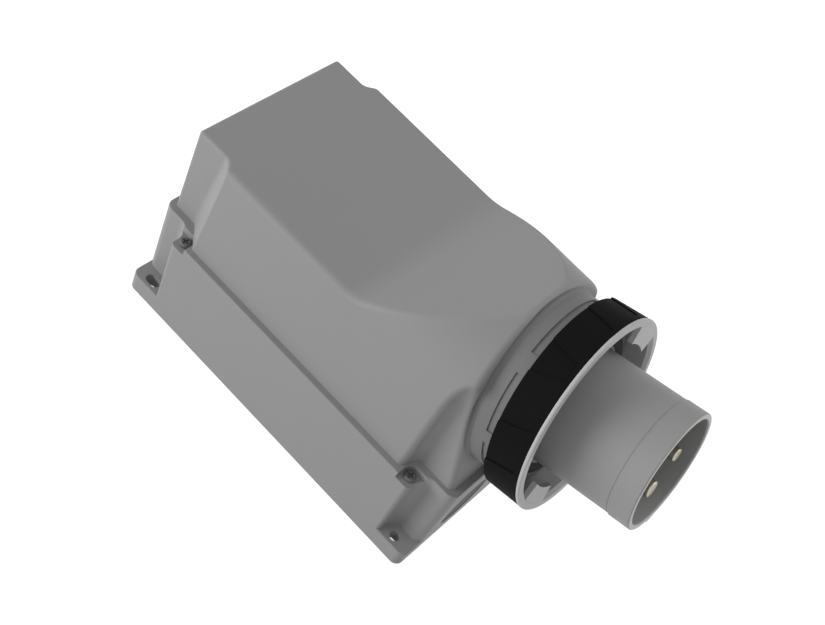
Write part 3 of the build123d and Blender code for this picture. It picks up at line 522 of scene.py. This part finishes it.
key_outline = softened(
    [
        (-KEY_HALF_WIDTH, -KEY_ROOT, KEY_ROUNDING),
        (-KEY_HALF_WIDTH, -KEY_TOP, KEY_ROUNDING),
        (KEY_HALF_WIDTH, -KEY_TOP, KEY_ROUNDING),
        (KEY_HALF_WIDTH, -KEY_ROOT, KEY_ROUNDING),
    ]
)
tube_and_key = [
    turned(shroud_profile, steps=ROUND_STEPS),
    prism(key_outline, KEY_REAR, KEY_FRONT, KEY_EDGE),
]
shroud = piece("shroud_tube", tube_and_key, "shroud", "housing")
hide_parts("shroud")

# %% [markdown]
# ## Mouth lip and bore
#
# The mouth ends in a fine lip whose pale colour is a painted highlight for its lit front face,
# while the bore behind it is dull. On the real shroud both are faces of the tube. Faces could
# be given materials of their own, but thin shells keep each finish on one piece.

# %% Mouth lip and bore
LIP_DEPTH = 0.6
LIP_BORE = 32.45
LIP_OUTER = 35.1
LINER_REAR = 24.0
LINER_FRONT = 0.9
LINER_EDGE = 0.5
LINER_R = 32.1
LINER_BACK_R = 32.65
LINER_ROUNDING = 0.15
mouth_profile = softened(
    [
        (TUBE_END - LIP_DEPTH, LIP_BORE, 0.1),
        (MOUTH, LIP_BORE, 0.35),
        (MOUTH, LIP_OUTER, 0.4),
        (TUBE_END - LIP_DEPTH, LIP_OUTER, 0.1),
    ]
)
piece("mouth_lip", [turned(mouth_profile, steps=ROUND_STEPS)], "lip", "housing")
liner_profile = softened(
    [
        (LINER_REAR, LINER_R, LINER_ROUNDING),
        (MOUTH - LINER_FRONT, LINER_R, LINER_ROUNDING),
        (MOUTH - LINER_EDGE, LINER_BACK_R, LINER_ROUNDING),
        (LINER_REAR, LINER_BACK_R, LINER_ROUNDING),
    ]
)
piece("bore_liner", [turned(liner_profile, steps=ROUND_STEPS)], "liner", "housing")

# %% [markdown]
# ## Shroud seal
#
# A flat rubber ring lies round the shroud's collar, deep between the shroud and the locking
# ring. It could be cut from sheet or moulded. This one is moulded, with a low step inside,
# and takes the place of the CAD seal, whose lips look narrower from here.

# %% Shroud seal
SEAL_REAR = 7.05
SEAL_STEP = 9.45
SEAL_FRONT = 9.9
SEAL_INNER_R = 37.15
SEAL_STEP_R = 38.0
SEAL_RAMP_R = 38.6
SEAL_R = 43.5
seal_profile = softened(
    [
        (SEAL_REAR, SEAL_INNER_R, 0.1),
        (SEAL_STEP, SEAL_INNER_R, 0.2),
        (SEAL_STEP, SEAL_STEP_R, 0.3),
        (SEAL_FRONT, SEAL_RAMP_R, 0.3),
        (SEAL_FRONT, SEAL_R, 0.5),
        (SEAL_REAR, SEAL_R, 0.1),
    ]
)
seal = piece(
    "seal_ring", [turned(seal_profile, steps=ROUND_STEPS)], "seal", "housing"
)
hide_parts("shroud_seal")

# %% [markdown]
# ## Contact tips
#
# Each contact pin ends in a flat face with a rounded edge, which shows as a pale disc in
# the dark mouth. A cap over the end of the CAD pin gives it that shape. It is a hair wider
# than the pin, so the two surfaces don't lie in one place.

# %% Contact tips
TIP_STEPS = 64
TIP_CURVE_STEPS = 8
TIP_ROUNDING = 1.0
SHARP = 0.01
PIN_CIRCLE = 18.8
CAP_START = 50.0
CAP_END = 66.6
CAP_GAP = 0.03
CORE_R = 0.02
PINS = {
    "l1": (198.0, 4.0),
    "l2": (126.0, 4.0),
    "l3": (54.0, 4.0),
    "neutral": (342.0, 4.0),
    "earth": (270.0, 5.0),
}
for name, (turn, radius) in PINS.items():
    cap_r = radius + CAP_GAP
    tip_profile = softened(
        [
            (CAP_START, CORE_R, SHARP),
            (CAP_START, cap_r, SHARP),
            (CAP_END, cap_r, TIP_ROUNDING),
            (CAP_END, CORE_R, SHARP),
        ],
        steps=TIP_CURVE_STEPS,
    )
    angle = math.radians(turn)
    centre = (PIN_CIRCLE * math.cos(angle), PIN_CIRCLE * math.sin(angle))
    tip = turned(tip_profile, centre=centre, steps=TIP_STEPS)
    piece("tip_" + name, [tip], "pin", "housing")

# %% [markdown]
# ## Lug faces
#
# The ring's two lugs run out flush into its light rim. The rim has a chamfer inside, which
# stops at each lug, so a small wedge fills the chamfer there.

# %% Lug faces
RIM_FRONT = 21.1
RING_BORE = 53.05
CHAMFER = 2.0
WEDGE_DEPTH = 2.4
WEDGE_ROOT = 0.6
WEDGE_SINK = 0.3
WEDGE_OVERLAP = 0.02
LUG_STARTS = (28.5, 211.5)
LUG_SPAN = 32.0
wedge = np.array(
    [
        (RIM_FRONT - WEDGE_DEPTH, RING_BORE - WEDGE_ROOT),
        (RIM_FRONT, RING_BORE - WEDGE_ROOT),
        (RIM_FRONT, RING_BORE + CHAMFER + WEDGE_OVERLAP),
        (RIM_FRONT - CHAMFER, RING_BORE + WEDGE_SINK),
    ]
)
lugs = [swept(wedge, start, start + LUG_SPAN) for start in LUG_STARTS]
piece("lug_faces", lugs, "ring", "locking_ring")

# %% [markdown]
# ## Nose lip
#
# Where the hood meets the inlet, a low soft lip hides the edge of the flat gasket. A
# fillet on the flange could do the same, but the CAD flange stays flat at its gasket.

# %% Nose lip
NOSE_LIP_REAR = -17.75
NOSE_LIP_FRONT = -15.4
NOSE_LIP_INNER_R = 51.0
NOSE_LIP_R = 54.6
NOSE_LIP_KNEE_DEPTH = 0.9
NOSE_LIP_KNEE_RISE = 0.45
FLANGE_R = 52.7
nose_profile = softened(
    [
        (NOSE_LIP_REAR, NOSE_LIP_INNER_R, 0.2),
        (NOSE_LIP_REAR, NOSE_LIP_R, 0.05),
        (NOSE_LIP_REAR + NOSE_LIP_KNEE_DEPTH, FLANGE_R + NOSE_LIP_KNEE_RISE, 0.8),
        (NOSE_LIP_FRONT, FLANGE_R, 0.3),
        (NOSE_LIP_FRONT, NOSE_LIP_INNER_R, 0.2),
    ]
)
# The nose lip wears the flange's grey, which is partly painted shade.
piece("nose_lip", [turned(nose_profile, steps=ROUND_STEPS)], "flange", "housing")

# %% [markdown]
# ## Cable entry membranes
#
# The four round entries in the end walls are closed by thin discs with a raised rim, whose
# dark colour is painted shade for the recessed entries. A disc could be cut from the wall,
# but it is its own piece, so it can carry that colour.

# %% Cable entry membranes
DISC_STEPS = 96
ENTRY_HEIGHT = 0.0295
ENTRY_SIDE = 0.024
ENTRY_FACE = 114.75
DISC_BACK = -0.3
DISC_FRONT = 1.05
RIM_TOP = 1.35
RIM_INNER_R = 15.3
RIM_RAMP_R = 15.7
DISC_R = 17.85
disc_profile = softened(
    [
        (DISC_BACK, CORE_R, SHARP),
        (DISC_FRONT, CORE_R, SHARP),
        (DISC_FRONT, RIM_INNER_R, 0.2),
        (RIM_TOP, RIM_RAMP_R, 0.2),
        (RIM_TOP, DISC_R, 0.3),
        (DISC_BACK, DISC_R, 0.05),
    ]
)
for end, side in (("front", 1), ("rear", -1)):
    face = side * ENTRY_FACE * MILLIMETRE
    places = [(face, y, ENTRY_HEIGHT) for y in (-ENTRY_SIDE, ENTRY_SIDE)]
    discs = [turned(disc_profile, axes(place, side=side), steps=DISC_STEPS) for place in places]
    piece("entry_membranes_" + end, discs, "membrane", "housing")

# %% [markdown]
# ## Floor, light and background
#
# The floor is a large pale plane. Its colour could be lit up to white by strong lamps, but
# that would wash out the object. So what the camera sees of the floor and the background
# gets a glow of its own, while the lamps stay at a plain level.

# %% Floor
FLOOR_SIZE = 6.0
FLOOR_COLOUR = 0.6
FLOOR_GLOW = 0.8
FLOOR_DROP = 0.0002


def straight_rays(recipe):
    """One for rays from the camera and for mirrored or clear ones, nought for scattered light."""
    kinds = ("Is Camera Ray", "Is Glossy Ray", "Is Transmission Ray")
    camera, gloss, clear = (recipe.node("ShaderNodeLightPath", output=kind) for kind in kinds)
    return camera + gloss + clear


def add_floor():
    """A square floor just under the object, with a glow that only the camera and gloss see."""
    half = FLOOR_SIZE / 2
    corners = [(-half, -half, -FLOOR_DROP), (half, -half, -FLOOR_DROP)]
    corners += [(half, half, -FLOOR_DROP), (-half, half, -FLOOR_DROP)]
    mesh = bpy.data.meshes.new("floor")
    mesh.from_pydata(corners, [], [(0, 1, 2, 3)])
    floor = bpy.data.objects.new("floor", mesh)
    bpy.context.scene.collection.objects.link(floor)
    recipe = Recipe(bpy.data.materials.new("floor_paint"))
    seen = straight_rays(recipe)
    matt = recipe.node("ShaderNodeBsdfDiffuse", {}, {"Color": grey(FLOOR_COLOUR)})
    glow_inputs = {"Color": grey(1.0), "Strength": seen * FLOOR_GLOW}
    glow = recipe.node("ShaderNodeEmission", {}, glow_inputs)
    mesh.materials.append(recipe.finish(recipe.node("ShaderNodeAddShader", {}, {0: matt, 1: glow})))
    return floor


print("floor:", add_floor().name)

# %% [markdown]
# ## Background and sky
#
# A real studio has white walls all round. One even colour stands for them, dim where it
# lights the object and white where the camera, gloss or clear pieces see it.

# %% Background and sky
SKY_STRENGTH = 0.32


def add_sky():
    """A plain soft sky that the camera, gloss and glass see as white."""
    world = bpy.data.worlds.new("sky")
    bpy.context.scene.world = world
    recipe = Recipe(world)
    strength = straight_rays(recipe) * (1 - SKY_STRENGTH) + SKY_STRENGTH
    shader = recipe.node("ShaderNodeBackground", {}, {"Color": grey(1.0), "Strength": strength})
    return recipe.finish(shader, "ShaderNodeOutputWorld")


print("sky:", add_sky().name)

# %% [markdown]
# ## Lamps
#
# Three square lamps act as the studio's soft boxes. The strongest stands low behind the
# near side, which keeps that side pale and the front walls in shade. Spot lamps would draw
# hard shadows, which this picture doesn't have.

# %% Lamps
LAMP_SIZE = 1.2
LAMPS = {
    "rear_near_lamp": ((-1.26, -1.26, 0.33), 28.5),
    "front_near_lamp": ((0.95, -0.95, 1.28), 3.2),
    "far_lamp": ((0.67, 1.16, 1.28), 8.2),
}
LAMP_AIM = (0.0, 0.0, 0.08)


def add_lamp(name, place, power):
    """A square lamp that faces the object."""
    data = bpy.data.lights.new(name, "AREA")
    data.size = LAMP_SIZE
    data.energy = power
    lamp = bpy.data.objects.new(name, data)
    bpy.context.scene.collection.objects.link(lamp)
    away = np.array(place) - np.array(LAMP_AIM)
    distance = np.linalg.norm(away)
    lamp.location = place
    tilt = math.acos(away[2] / distance)
    lamp.rotation_euler = (tilt, 0.0, math.atan2(away[1], away[0]) + math.pi / 2)
    return lamp


for name, (place, power) in LAMPS.items():
    print(name, add_lamp(name, place, power).data.energy)

# %% [markdown]
#
# The Standard view shows a colour about as it is written.

bpy.context.scene.view_settings.view_transform = "Standard"
